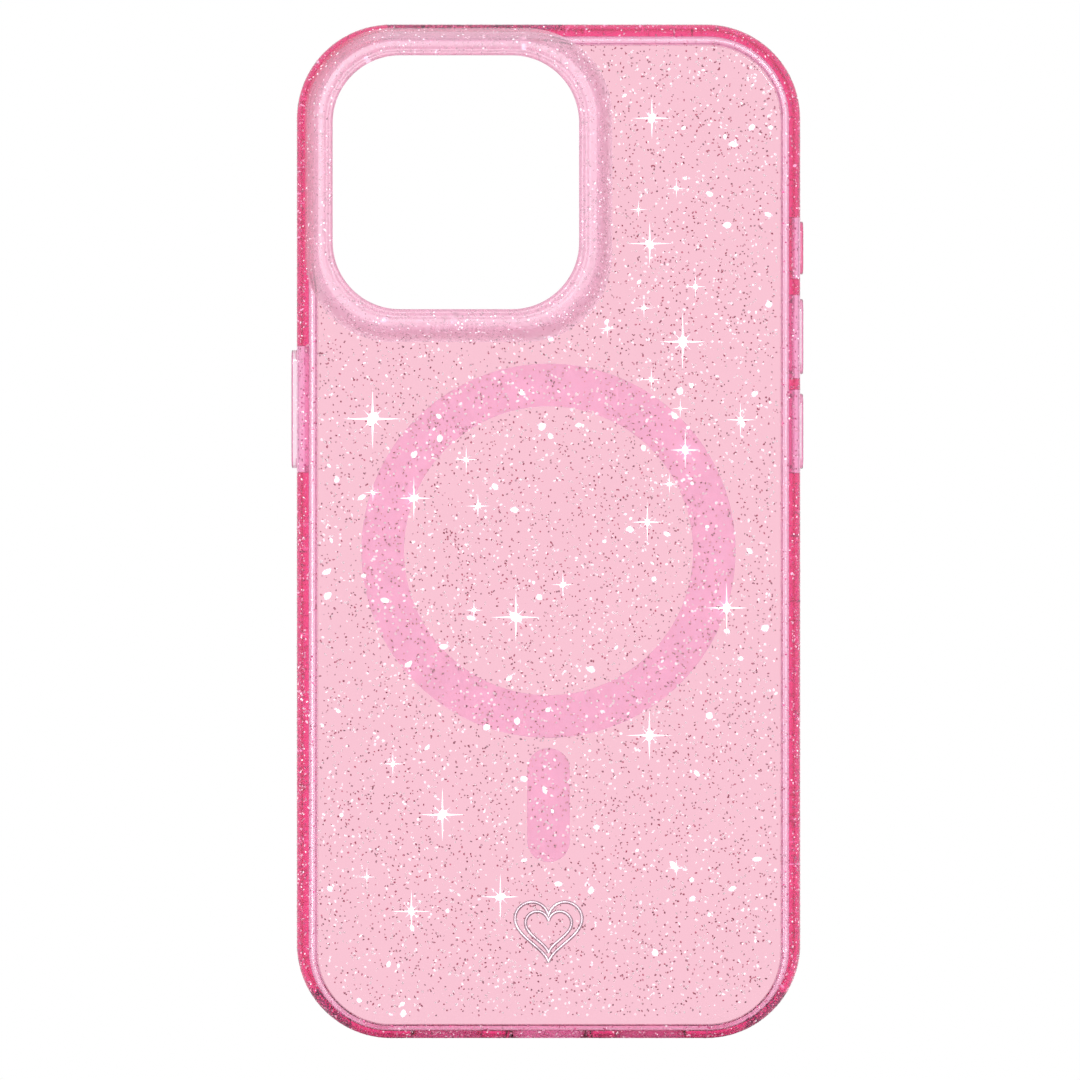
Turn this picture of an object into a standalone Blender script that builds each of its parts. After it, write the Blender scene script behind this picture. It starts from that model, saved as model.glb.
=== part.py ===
"""A clear glitter phone case with a magnet ring, standing upright on its bottom edge.

Units are metres. +Z is up the case, -Y is the outside of the back, +Y is the open
screen side. The origin is the centre of the footprint on the surface it stands on.
"""

import math

import bmesh
import bpy
from mathutils import Matrix, Vector

UPRIGHT = math.radians(90)
WELD_DISTANCE = 0.000001

# Outer size of the case, without its buttons
WIDTH = 0.0750
HEIGHT = 0.1510
CORNER_RADIUS = 0.0140
CORNER_STEPS = 8
MIDDLE_Z = HEIGHT / 2

# Depths along Y, from the outside of the camera guard to the front of the screen lip
GUARD_BACK_Y = -0.0071
PLATE_BACK_Y = -0.0046
PLATE_INNER_Y = -0.0024
LIP_UNDER_Y = 0.00585
LIP_FRONT_Y = 0.0071
PHONE_MIDDLE_Y = (PLATE_INNER_Y + LIP_UNDER_Y) / 2

# Bumper section, measured inwards from the outer wall
WALL = 0.00205
LIP_REACH = 0.0032
SHOULDER_REACH = 0.0030
SHOULDER_ROUND = 0.0025
SHOULDER_UNDER_Y = -0.0037
LIP_ROUND = 0.0015
LIP_EDGE_ROUND = 0.0005
SHOULDER_STEPS = 5
LIP_STEPS = 4
EDGE_STEPS = 2
GAP = 0.0003

# Back plate
PLATE_INSET = SHOULDER_REACH + GAP
TONGUE_INSET = WALL + GAP
TONGUE_BACK_Y = SHOULDER_UNDER_Y + GAP
PLATE_EDGE_ROUND = 0.0003

# Camera opening and the raised guard around it
CAMERA_X = -0.0138
CAMERA_Z = 0.1275
CAMERA_WIDTH = 0.0367
CAMERA_HEIGHT = 0.0378
CAMERA_RADIUS = 0.0100
GUARD_LEFT = -0.0363
GUARD_RIGHT = 0.0095
GUARD_BOTTOM = 0.1037
GUARD_TOP = 0.1498
GUARD_RADIUS = 0.0130
GUARD_SLOPE = 0.0012
GUARD_SLOPE_STEPS = 3
GUARD_LIP_ROUND = 0.0004
GUARD_REBATE = 0.0006

# Magnet ring and alignment bar, laid in recesses in the inside of the plate
RING_Z = 0.0726
RING_OUTER_RADIUS = 0.0279
RING_INNER_RADIUS = 0.0215
RING_STEPS = 64
RECESS_CLEARANCE = 0.0003
RECESS_FLOOR_Y = -0.0041
OUTER_FILM_Y = (-0.0039, -0.0037)
MAGNET_Y = (-0.0035, -0.0030)
INNER_FILM_Y = (-0.0028, -0.0026)
MAGNET_COUNT = 18
MAGNET_OUTER_RADIUS = 0.0270
MAGNET_INNER_RADIUS = 0.0225
MAGNET_SPACING = 0.0004
MAGNET_ARC_STEPS = 3
BAR_Z = 0.0347
BAR_WIDTH = 0.0064
BAR_HEIGHT = 0.0170
BAR_MAGNET_MARGIN = 0.0009

# Outline emblem near the bottom of the back, set in a shallow pocket and standing a little proud
EMBLEM_Z = 0.0158
EMBLEM_WIDTH = 0.0104
EMBLEM_LINE = 0.0008
EMBLEM_Y = (-0.0048, -0.0045)
EMBLEM_POCKET_Y = -0.0043
EMBLEM_POCKET_SCALE = 1.06
EMBLEM_STEPS = 16
EMBLEM_CLEFT_STEPS = 3
EMBLEM_CLEFT_CLEAR = 0.0001

# Heart curve: half its width as a power of a sine, its height as a sum of cosines
HEART_HALF_WIDTH = 16
HEART_WAVES = (13, -5, -2, -1)
HEART_MIDDLE = -2.5

# Side buttons: middle height, length, side of the case and how far they stand out of the wall
BUTTONS = {
    "side_button": (0.0937, 0.0176, -1, 0.00085),
    "action_button": (0.1177, 0.0079, 1, 0.0005),
    "volume_up_button": (0.1045, 0.0112, 1, 0.0005),
    "volume_down_button": (0.0904, 0.0112, 1, 0.0005),
}
BUTTON_DEPTH = 0.0034
BUTTON_CLEARANCE = 0.0002
BUTTON_EDGE_ROUND = 0.0002
BUTTON_EDGE_STEPS = 2
RIM_TOLERANCE = 0.01
PILL_STEPS = 10
FLANGE_MARGIN_Z = 0.0007
FLANGE_MARGIN_Y = 0.0007
FLANGE_FACE = 0.00115
FLANGE_THICKNESS = 0.0004
POCKET_FACE = 0.0010
POCKET_EXTRA = 0.0003

# Cut-outs in the bottom wall: charging port in the middle, a sound slot each side
PORT_WIDTH = 0.0130
PORT_DEPTH = 0.0064
SOUND_SLOT_X = 0.0152
SOUND_SLOT_WIDTH = 0.0105
SOUND_SLOT_DEPTH = 0.0028
CUT_OVERRUN = 0.0020


# Turns of an upright block: width across the case's thickness and travel through a side wall,
# and length along the bottom with travel through the bottom wall
FACE_SIDE = Matrix.Rotation(UPRIGHT, 4, "Z")
FACE_DOWN = Matrix(((0, 0, 1), (1, 0, 0), (0, 1, 0))).to_4x4()


def clear_scene():
    """Removes every object, so that the model starts empty."""
    for old in list(bpy.data.objects):
        bpy.data.objects.remove(old, do_unlink=True)


def new_collection(name):
    """A collection linked to the scene."""
    collection = bpy.data.collections.new(name)
    bpy.context.scene.collection.children.link(collection)
    return collection


def new_material(name, colour, roughness, metallic=0.0, transmission=0.0):
    """A Principled material."""
    material = bpy.data.materials.new(name)
    material.use_nodes = True
    shader = material.node_tree.nodes["Principled BSDF"]
    shader.inputs["Base Color"].default_value = (*colour, 1.0)
    shader.inputs["Roughness"].default_value = roughness
    shader.inputs["Metallic"].default_value = metallic
    shader.inputs["Transmission Weight"].default_value = transmission
    return material


def link_mesh(name, mesh, collection, material=None):
    """A new object that holds the mesh."""
    piece = bpy.data.objects.new(name, mesh)
    collection.objects.link(piece)
    if material:
        mesh.materials.clear()
        mesh.materials.append(material)
    return piece


def arc_points(centre, radius, start, end, steps):
    """Points on an arc, with angles in degrees."""
    points = []
    for step in range(steps + 1):
        angle = math.radians(start + (end - start) * step / steps)
        points.append((centre[0] + radius * math.cos(angle), centre[1] + radius * math.sin(angle)))
    return points


def rounded_outline(width, height, radius, centre, steps=CORNER_STEPS):
    """A rounded rectangle in X and Z, anticlockwise from its right side."""
    half_x = width / 2 - radius
    half_z = height / 2 - radius
    points = []
    for corner, (side_x, side_z) in enumerate(((1, 1), (-1, 1), (-1, -1), (1, -1))):
        middle = (centre[0] + side_x * half_x, centre[1] + side_z * half_z)
        points += arc_points(middle, radius, 90 * corner, 90 * corner + 90, steps)
    return points


def pill_outline(width, height, centre, steps=PILL_STEPS):
    """An upright round-ended outline: two half circles joined by straight sides."""
    reach = (height - width) / 2
    top = arc_points((centre[0], centre[1] + reach), width / 2, 0, 180, steps)
    bottom = arc_points((centre[0], centre[1] - reach), width / 2, 180, 360, steps)
    return top + bottom


def circle_outline(radius, centre, steps=RING_STEPS):
    """A full circle, without a doubled last point."""
    return arc_points(centre, radius, 0, 360, steps)[:-1]


def case_outline(inset):
    """The case's outline, moved inwards by inset."""
    return rounded_outline(
        WIDTH - 2 * inset, HEIGHT - 2 * inset, CORNER_RADIUS - inset, (0, MIDDLE_Z)
    )


def camera_outline(clearance):
    """The camera opening's outline, widened by clearance."""
    return rounded_outline(
        CAMERA_WIDTH + 2 * clearance,
        CAMERA_HEIGHT + 2 * clearance,
        CAMERA_RADIUS + clearance,
        (CAMERA_X, CAMERA_Z),
    )


def add_spline(curve, points):
    """A closed straight-sided spline through the points."""
    spline = curve.splines.new("POLY")
    spline.points.add(len(points) - 1)
    for target, (x, y) in zip(spline.points, points):
        target.co = (x, y, 0, 1)
    spline.use_cyclic_u = True


def curve_to_mesh(guide):
    """The curve object's shape as a welded mesh, in world space; the curve is removed."""
    bpy.context.view_layer.update()
    graph = bpy.context.evaluated_depsgraph_get()
    mesh = bpy.data.meshes.new_from_object(guide.evaluated_get(graph))
    mesh.transform(guide.matrix_world)
    work = bmesh.new()
    work.from_mesh(mesh)
    bmesh.ops.remove_doubles(work, verts=work.verts, dist=WELD_DISTANCE)
    bmesh.ops.recalc_face_normals(work, faces=work.faces)
    work.to_mesh(mesh)
    work.free()
    bpy.data.objects.remove(guide, do_unlink=True)
    return mesh


def flat_mesh(outlines, depths):
    """A flat plate between two depths along Y; outlines inside the first one are holes."""
    low, high = depths
    curve = bpy.data.curves.new("outline", "CURVE")
    curve.dimensions = "2D"
    curve.fill_mode = "BOTH"
    curve.resolution_u = 1
    curve.extrude = (high - low) / 2
    for points in outlines:
        add_spline(curve, points)
    guide = bpy.data.objects.new("outline", curve)
    bpy.context.scene.collection.objects.link(guide)
    guide.rotation_euler = (UPRIGHT, 0, 0)
    guide.location = (0, (low + high) / 2, 0)
    return curve_to_mesh(guide)


def loft_mesh(sections):
    """A closed ring of material lofted through (outline, depth) sections and back to the first."""
    work = bmesh.new()
    rings = []
    for outline, y in sections:
        rings.append([work.verts.new((x, y, z)) for x, z in outline])
    for ring, following in zip(rings, rings[1:] + rings[:1]):
        for index, vertex in enumerate(ring):
            after = (index + 1) % len(ring)
            work.faces.new((vertex, ring[after], following[after], following[index]))
    bmesh.ops.recalc_face_normals(work, faces=work.faces)
    mesh = bpy.data.meshes.new("loft")
    work.to_mesh(mesh)
    work.free()
    return mesh


def box_mesh(centre, size):
    """A box of the given size about its centre."""
    work = bmesh.new()
    bmesh.ops.create_cube(work, size=1.0)
    bmesh.ops.scale(work, vec=size, verts=work.verts)
    bmesh.ops.translate(work, vec=centre, verts=work.verts)
    mesh = bpy.data.meshes.new("box")
    work.to_mesh(mesh)
    work.free()
    return mesh


def pill_mesh(centre, length, width, travel, turn):
    """A round-ended block, made upright with its travel along Y, then turned and placed."""
    mesh = flat_mesh([pill_outline(width, length, (0, 0))], (-travel / 2, travel / 2))
    mesh.transform(Matrix.Translation(centre) @ turn)
    return mesh


def as_cutter(name, mesh):
    """A Boolean operand that isn't part of the model."""
    cutter = link_mesh(name, mesh, cutters)
    cutter.hide_render = True
    cutter.display_type = "WIRE"
    return cutter


def add_boolean(piece, operand, operation):
    """Cuts or joins the operand, with the exact solver."""
    boolean = piece.modifiers.new(operand.name, "BOOLEAN")
    boolean.operation = operation
    boolean.solver = "EXACT"
    boolean.object = operand


def cut(piece, name, mesh):
    """Cuts the mesh out of the piece."""
    add_boolean(piece, as_cutter(name, mesh), "DIFFERENCE")


def join(piece, name, mesh):
    """Joins the mesh onto the piece as one solid."""
    add_boolean(piece, as_cutter(name, mesh), "UNION")


def smooth(piece, angle=30):
    """Smooth shading that keeps the real edges sharp."""
    piece.data.shade_smooth()
    piece.data.set_sharp_from_angle(angle=math.radians(angle))


def bumper_section():
    """The bumper's closed section as (inward, y) points, from the back shoulder round to the lip."""
    shoulder_centre = (SHOULDER_ROUND, PLATE_BACK_Y + SHOULDER_ROUND)
    lip_centre = (LIP_ROUND, LIP_FRONT_Y - LIP_ROUND)
    edge_centre = (LIP_REACH - LIP_EDGE_ROUND, LIP_FRONT_Y - LIP_EDGE_ROUND)
    shoulder = arc_points(shoulder_centre, SHOULDER_ROUND, 270, 180, SHOULDER_STEPS)
    lip_outer = arc_points(lip_centre, LIP_ROUND, 180, 90, LIP_STEPS)
    lip_inner = arc_points(edge_centre, LIP_EDGE_ROUND, 90, 0, EDGE_STEPS)
    inside = [
        (LIP_REACH, LIP_UNDER_Y),
        (WALL, LIP_UNDER_Y),
        (WALL, SHOULDER_UNDER_Y),
        (SHOULDER_REACH, SHOULDER_UNDER_Y),
        (SHOULDER_REACH, PLATE_BACK_Y + PLATE_EDGE_ROUND),
        (SHOULDER_REACH - PLATE_EDGE_ROUND, PLATE_BACK_Y),
    ]
    return shoulder + lip_outer + lip_inner + inside


def make_bumper_frame():
    """The soft frame round the case: the section swept along the case's outline, then its cut-outs."""
    section = bpy.data.curves.new("bumper_section", "CURVE")
    section.dimensions = "2D"
    add_spline(section, [(inward, -y) for inward, y in bumper_section()])
    section_guide = bpy.data.objects.new("bumper_section", section)
    bpy.context.scene.collection.objects.link(section_guide)

    path = bpy.data.curves.new("bumper_path", "CURVE")
    path.dimensions = "2D"
    path.fill_mode = "NONE"
    add_spline(path, case_outline(0))
    path.bevel_mode = "OBJECT"
    path.bevel_object = section_guide
    guide = bpy.data.objects.new("bumper_path", path)
    bpy.context.scene.collection.objects.link(guide)
    guide.rotation_euler = (UPRIGHT, 0, 0)
    mesh = curve_to_mesh(guide)
    bpy.data.objects.remove(section_guide, do_unlink=True)

    bumper = link_mesh("bumper_frame", mesh, case, materials["bumper"])
    for name, (middle, length, side, _) in BUTTONS.items():
        cut_button_slot(bumper, name, middle, length, side)
    cut_bottom_openings(bumper)
    smooth(bumper)


def wall_point(side, inward, height):
    """A point in a side wall, at a depth inwards from its outer face and a height up the case."""
    return Vector((side * (WIDTH / 2 - inward), PHONE_MIDDLE_Y, height))


def cut_button_slot(bumper, name, middle, length, side):
    """A slot through the wall for the button's cap, and a wider pocket inside for its flange."""
    slot = pill_mesh(
        wall_point(side, WALL / 2, middle),
        length + 2 * BUTTON_CLEARANCE,
        BUTTON_DEPTH + 2 * BUTTON_CLEARANCE,
        WALL + 2 * CUT_OVERRUN,
        FACE_SIDE,
    )
    cut(bumper, name + "_slot", slot)
    pocket_size = (
        WALL - POCKET_FACE + CUT_OVERRUN,
        BUTTON_DEPTH + 2 * (FLANGE_MARGIN_Y + POCKET_EXTRA),
        length + 2 * (FLANGE_MARGIN_Z + POCKET_EXTRA),
    )
    pocket_middle = wall_point(side, POCKET_FACE + pocket_size[0] / 2, middle)
    cut(bumper, name + "_pocket", box_mesh(pocket_middle, pocket_size))


def cut_bottom_openings(bumper):
    """The charging port's opening and the sound slots through the bottom wall."""
    openings = {
        "port_opening": (0, PORT_WIDTH, PORT_DEPTH),
        "sound_slot_left": (-SOUND_SLOT_X, SOUND_SLOT_WIDTH, SOUND_SLOT_DEPTH),
        "sound_slot_right": (SOUND_SLOT_X, SOUND_SLOT_WIDTH, SOUND_SLOT_DEPTH),
    }
    for name, (middle, width, depth) in openings.items():
        centre = Vector((middle, PHONE_MIDDLE_Y, WALL / 2))
        cut(bumper, name, pill_mesh(centre, width, depth, WALL + 2 * CUT_OVERRUN, FACE_DOWN))


def make_buttons():
    """Each button is a round-ended cap with a flange inside the wall that holds it in."""
    for name, (middle, length, side, proud) in BUTTONS.items():
        reach = FLANGE_FACE + FLANGE_THICKNESS / 2
        centre = Vector((side * (proud - reach) / 2, 0, 0))
        cap = pill_mesh(centre, length, BUTTON_DEPTH, proud + reach, FACE_SIDE)
        button = link_mesh(name, cap, case, materials[name])
        button.location = wall_point(side, 0, middle)
        round_outer_rim(button, side * proud)
        flange_middle = wall_point(side, FLANGE_FACE + FLANGE_THICKNESS / 2, middle)
        flange_size = (
            FLANGE_THICKNESS,
            BUTTON_DEPTH + 2 * FLANGE_MARGIN_Y,
            length + 2 * FLANGE_MARGIN_Z,
        )
        join(button, name + "_flange", box_mesh(flange_middle, flange_size))
        smooth(button)


def round_outer_rim(button, outer_x):
    """Rounds only the rim that stands out of the wall, by bevel weights on its edges."""
    mesh = button.data
    weights = mesh.attributes.new("bevel_weight_edge", "FLOAT", "EDGE")
    for edge, weight in zip(mesh.edges, weights.data):
        ends = [mesh.vertices[index].co.x for index in edge.vertices]
        weight.value = float(all(math.isclose(x, outer_x, rel_tol=RIM_TOLERANCE) for x in ends))
    bevel = button.modifiers.new("rim", "BEVEL")
    bevel.limit_method = "WEIGHT"
    bevel.width = BUTTON_EDGE_ROUND
    bevel.segments = BUTTON_EDGE_STEPS


def make_back_plate():
    """The hard back: a panel that shows and a tongue under the bumper, with its opening and recesses."""
    sections = [
        (case_outline(PLATE_INSET), PLATE_BACK_Y),
        (case_outline(PLATE_INSET), TONGUE_BACK_Y),
        (case_outline(TONGUE_INSET), TONGUE_BACK_Y),
        (case_outline(TONGUE_INSET), PLATE_INNER_Y),
        (camera_outline(GAP), PLATE_INNER_Y),
        (camera_outline(GAP), PLATE_BACK_Y),
    ]
    plate = link_mesh("back_plate", loft_mesh(sections), case, materials["plate"])
    behind = PLATE_BACK_Y - CUT_OVERRUN
    over = PLATE_INNER_Y + CUT_OVERRUN
    ring = ring_outlines(RING_OUTER_RADIUS + RECESS_CLEARANCE, RING_INNER_RADIUS - RECESS_CLEARANCE)
    cut(plate, "ring_recess", flat_mesh(ring, (RECESS_FLOOR_Y, over)))
    cut(plate, "bar_recess", flat_mesh([bar_outline(RECESS_CLEARANCE)], (RECESS_FLOOR_Y, over)))
    rebate_y = PLATE_BACK_Y + GUARD_REBATE
    cut(plate, "guard_rebate", flat_mesh([guard_outline(-GAP)], (behind, rebate_y)))
    pocket = heart_outline(0, EMBLEM_WIDTH * EMBLEM_POCKET_SCALE)
    cut(plate, "emblem_pocket", flat_mesh([pocket], (behind, EMBLEM_POCKET_Y)))
    smooth(plate)


def ring_outlines(outer, inner):
    """Outer and inner circle about the magnet ring's centre."""
    return [circle_outline(outer, (0, RING_Z)), circle_outline(inner, (0, RING_Z))]


def bar_outline(grow):
    """The alignment bar's round-ended outline, widened by grow."""
    return pill_outline(BAR_WIDTH + 2 * grow, BAR_HEIGHT + 2 * grow, (0, BAR_Z))


def guard_outline(inset):
    """The guard's outer outline, moved inwards by inset."""
    centre = ((GUARD_LEFT + GUARD_RIGHT) / 2, (GUARD_BOTTOM + GUARD_TOP) / 2)
    width = GUARD_RIGHT - GUARD_LEFT - 2 * inset
    height = GUARD_TOP - GUARD_BOTTOM - 2 * inset
    return rounded_outline(width, height, GUARD_RADIUS - inset, centre)


def make_camera_guard():
    """The raised frame round the camera opening, lofted from its seat over its slope to its inner wall.

    It is seated in the plate's rebate, and its foot is cut back where it crosses the shoulder.
    """
    seat_y = PLATE_BACK_Y + GUARD_REBATE - GAP
    foot_y = PLATE_BACK_Y - GAP
    slope_y = foot_y - GUARD_SLOPE / 2
    sections = [(guard_outline(0), seat_y), (guard_outline(0), slope_y)]
    for step in range(1, GUARD_SLOPE_STEPS + 1):
        angle = UPRIGHT * step / GUARD_SLOPE_STEPS
        inset = GUARD_SLOPE * (1 - math.cos(angle))
        sections.append((guard_outline(inset), slope_y + (GUARD_BACK_Y - slope_y) * math.sin(angle)))
    sections.append((camera_outline(GUARD_LIP_ROUND), GUARD_BACK_Y))
    sections.append((camera_outline(0), GUARD_BACK_Y + GUARD_LIP_ROUND))
    sections.append((camera_outline(0), seat_y))

    guard = link_mesh("camera_guard", loft_mesh(sections), case, materials["guard"])
    shoulder = [case_outline(-CUT_OVERRUN), case_outline(PLATE_INSET)]
    cut(guard, "guard_over_shoulder", flat_mesh(shoulder, (foot_y, seat_y + CUT_OVERRUN)))
    smooth(guard)


def magnet_outline():
    """One magnet's arched outline, about the ring's centre, with its middle at the right."""
    half = 180 / MAGNET_COUNT - math.degrees(MAGNET_SPACING / MAGNET_INNER_RADIUS) / 2
    outer = arc_points((0, 0), MAGNET_OUTER_RADIUS, -half, half, MAGNET_ARC_STEPS)
    inner = arc_points((0, 0), MAGNET_INNER_RADIUS, half, -half, MAGNET_ARC_STEPS)
    return outer + inner


def make_magnet_ring():
    """The printed film that shows through the plate, the magnets behind it and their inner cover."""
    ring = ring_outlines(RING_OUTER_RADIUS, RING_INNER_RADIUS)
    link_mesh("ring_outer_film", flat_mesh(ring, OUTER_FILM_Y), case, materials["film"])
    link_mesh("ring_inner_cover", flat_mesh(ring, INNER_FILM_Y), case, materials["cover"])
    magnet_mesh = flat_mesh([magnet_outline()], MAGNET_Y)
    for number in range(MAGNET_COUNT):
        name = f"ring_magnet_{number + 1:02d}"
        magnet = link_mesh(name, magnet_mesh, case, materials["magnet"])
        magnet.location = (0, 0, RING_Z)
        magnet.rotation_euler = (0, 2 * math.pi * (number + 0.5) / MAGNET_COUNT, 0)


def make_alignment_bar():
    """The upright bar below the ring, built up like the ring."""
    link_mesh("bar_outer_film", flat_mesh([bar_outline(0)], OUTER_FILM_Y), case, materials["film"])
    link_mesh("bar_inner_cover", flat_mesh([bar_outline(0)], INNER_FILM_Y), case, materials["cover"])
    centre = (0, sum(MAGNET_Y) / 2, BAR_Z)
    size = (BAR_WIDTH - 2 * BAR_MAGNET_MARGIN, MAGNET_Y[1] - MAGNET_Y[0], BAR_HEIGHT - BAR_WIDTH)
    link_mesh("alignment_magnet", box_mesh(centre, size), case, materials["magnet"])


def heart_point(angle):
    """A point of the heart curve, one unit wide, about the middle of its height."""
    x = HEART_HALF_WIDTH * math.sin(angle) ** 3
    z = sum(size * math.cos((order + 1) * angle) for order, size in enumerate(HEART_WAVES))
    return Vector((x, z - HEART_MIDDLE)) / (2 * HEART_HALF_WIDTH)


def heart_outline(inset, width=EMBLEM_WIDTH):
    """A heart's outline, moved inwards by inset, clockwise from its cleft."""
    step = math.pi / EMBLEM_STEPS
    cleft = heart_point(0) * width
    half = []
    if inset:
        half += arc_points(cleft, inset, 270, 360, EMBLEM_CLEFT_STEPS)[:-1]
    else:
        half.append(tuple(cleft))
    for number in range(1, EMBLEM_STEPS + 1):
        angle = step * number
        ahead = heart_point(angle + step / EMBLEM_STEPS)
        behind = heart_point(angle - step / EMBLEM_STEPS)
        along = (ahead - behind).normalized()
        point = heart_point(angle) * width + Vector((along.y, -along.x)) * inset
        if point.x > EMBLEM_CLEFT_CLEAR:
            half.append(tuple(point))
    tip = (0, heart_point(math.pi).y * width + inset * math.sqrt(2))
    mirrored = [(-x, z) for x, z in reversed(half[1:])]
    return [(x, z + EMBLEM_Z) for x, z in half + [tip] + mirrored]


def make_emblem():
    """A plain heart outline set in its pocket."""
    mesh = flat_mesh([heart_outline(0), heart_outline(EMBLEM_LINE)], EMBLEM_Y)
    link_mesh("heart_emblem", mesh, case, materials["emblem"])


clear_scene()
case = new_collection("phone_case")
cutters = new_collection("cutters")
materials = {
    "plate": new_material("clear_pink_plate", (0.93, 0.48, 0.62), 0.12, transmission=0.7),
    "bumper": new_material("clear_pink_bumper", (0.80, 0.10, 0.26), 0.16, transmission=0.6),
    "guard": new_material("clear_pink_guard", (0.85, 0.42, 0.56), 0.16, transmission=0.6),
    "film": new_material("lilac_pink_film", (0.91, 0.39, 0.60), 0.35),
    "cover": new_material("white_cover_film", (0.86, 0.80, 0.83), 0.45),
    "magnet": new_material("nickel_plated_magnet", (0.62, 0.61, 0.60), 0.28, metallic=1.0),
    "emblem": new_material("silver_emblem", (0.75, 0.68, 0.72), 0.25, metallic=0.6),
    "side_button": new_material("pale_pink_button", (0.87, 0.45, 0.58), 0.20, transmission=0.6),
    "action_button": new_material("hot_pink_button", (0.85, 0.17, 0.38), 0.20, transmission=0.5),
    "volume_up_button": new_material("pink_button_upper", (0.86, 0.36, 0.52), 0.20, transmission=0.6),
    "volume_down_button": new_material("pink_button_lower", (0.86, 0.36, 0.52), 0.20, transmission=0.6),
}
make_bumper_frame()
make_buttons()
make_back_plate()
make_camera_guard()
make_magnet_ring()
make_alignment_bar()
make_emblem()
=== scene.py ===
"""Looks of a clear pink glitter phone case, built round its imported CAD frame.

Units are metres. +Z is up the case, -Y is the outside of its back, +Y the screen side.
"""

import math
import random

import bmesh
import bpy
import numpy as np
from mathutils import Matrix, Vector


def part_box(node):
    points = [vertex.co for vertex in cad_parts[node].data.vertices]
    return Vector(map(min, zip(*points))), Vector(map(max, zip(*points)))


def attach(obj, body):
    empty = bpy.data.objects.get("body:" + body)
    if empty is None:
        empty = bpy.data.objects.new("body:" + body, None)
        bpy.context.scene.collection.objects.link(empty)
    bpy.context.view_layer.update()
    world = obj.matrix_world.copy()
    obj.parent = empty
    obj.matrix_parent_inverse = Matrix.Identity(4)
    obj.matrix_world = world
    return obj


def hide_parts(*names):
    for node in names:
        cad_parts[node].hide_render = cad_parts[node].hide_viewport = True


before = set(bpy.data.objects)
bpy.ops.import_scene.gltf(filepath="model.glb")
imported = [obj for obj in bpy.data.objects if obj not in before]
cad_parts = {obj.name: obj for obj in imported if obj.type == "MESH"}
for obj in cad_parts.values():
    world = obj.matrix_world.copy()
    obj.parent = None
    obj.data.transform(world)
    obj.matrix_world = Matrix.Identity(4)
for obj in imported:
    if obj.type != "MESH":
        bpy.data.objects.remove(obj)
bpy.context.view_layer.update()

MM = 0.001
BODY = "case_body"

# ---------------------------------------------------------------- places from the frame

case_low, case_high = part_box("bumper_frame")
plate_low, plate_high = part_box("back_plate")
guard_low, guard_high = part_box("camera_guard")
film_low, film_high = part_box("ring_outer_film")
cover_low, cover_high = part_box("ring_inner_cover")
bar_low, bar_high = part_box("bar_outer_film")
emblem_low, emblem_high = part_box("heart_emblem")

WIDTH = case_high.x - case_low.x
HEIGHT = case_high.z - case_low.z
MIDDLE_Z = (case_high.z + case_low.z) / 2
BACK_Y = plate_low.y
INNER_Y = plate_high.y
LIP_Y = case_high.y
RING_Z = (film_low.z + film_high.z) / 2
RING_OUTER = (film_high.x - film_low.x) / 2
RECESS_FLOOR_Y = film_low.y - 0.2 * MM

# Radius of the case's corners, and how far their centres are from its middle
CORNER_RADIUS = 14 * MM
CORNER_X = WIDTH / 2 - CORNER_RADIUS
CORNER_Z = HEIGHT / 2 - CORNER_RADIUS

# Section of the bumper, measured inwards from its outer wall
WALL = 1.85 * MM
LIP_UNDER_Y = 5.85 * MM
LIP_REACH = 3.2 * MM
LIP_ROUND = 0.6 * MM
SHOULDER_REACH = 3.0 * MM
# Both sides of the seam between shoulder and plate are steeply chamfered
SHOULDER_CHAMFER = 0.24 * MM
SHOULDER_SEAM_DEPTH = 0.75 * MM
PLATE_CHAMFER = 0.15 * MM
PLATE_SEAM_DEPTH = 0.38 * MM
SHOULDER_UNDER_Y = -3.7 * MM
SHOULDER_ROUND = 2.4 * MM
PLATE_INSET = 3.05 * MM
TONGUE_INSET = 2.75 * MM
TONGUE_BACK_Y = SHOULDER_UNDER_Y + 0.05 * MM
PHONE_MIDDLE_Y = (INNER_Y + LIP_UNDER_Y) / 2
RECESS_CLEARANCE = 0.02 * MM

# The section is narrower on the right and along the bottom, as shares of its full width
RIGHT_SHARE = 0.94
BOTTOM_SHARE = 0.66

CORNER_STEPS = 24

# The camera opening's wall, measured in from the sides of the guard's box
GUARD_LEFT_SIDE = 4.15 * MM
GUARD_RIGHT_SIDE = 4.95 * MM
GUARD_BOTTOM_SIDE = 4.9 * MM
GUARD_TOP_SIDE = 3.4 * MM
camera_low = Vector((guard_low.x + GUARD_LEFT_SIDE, 0, guard_low.z + GUARD_BOTTOM_SIDE))
camera_high = Vector((guard_high.x - GUARD_RIGHT_SIDE, 0, guard_high.z - GUARD_TOP_SIDE))
CAMERA_RADIUS = 10 * MM
GUARD_RADIUS = 13 * MM
# How far the guard is rolled over the top shoulder, past its CAD outline
GUARD_OVER_TOP = 0.7 * MM
RING_INNER = 21.5 * MM

# Each button's body
BUTTON_BODIES = {
    "side_button": "side_button_cap",
    "action_button": "action_button_cap",
    "volume_up_button": "volume_up_cap",
    "volume_down_button": "volume_down_cap",
}
button_boxes = {name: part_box(name) for name in BUTTON_BODIES}
BUTTON_WIDTH = 3.4 * MM
FLANGE_MARGIN = 0.7 * MM
# The flange is trimmed a little inside its CAD box, and its pocket leaves a gap round it
FLANGE_TRIM = 0.2 * MM
FLANGE_THICKNESS = 0.4 * MM
POCKET_MARGIN = 0.65 * MM
SLOT_WIDENING = 0.3 * MM
# Rounding of a cap's rim, and the crown on top of it as (inset, height below its top)
CAP_RIM = 0.24 * MM
CAP_CROWN_DROP = 0.08 * MM
CAP_CROWN = ((0.8 * MM, 0.03 * MM), (1.2 * MM, 0.01 * MM), (1.5 * MM, 0.0))

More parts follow.
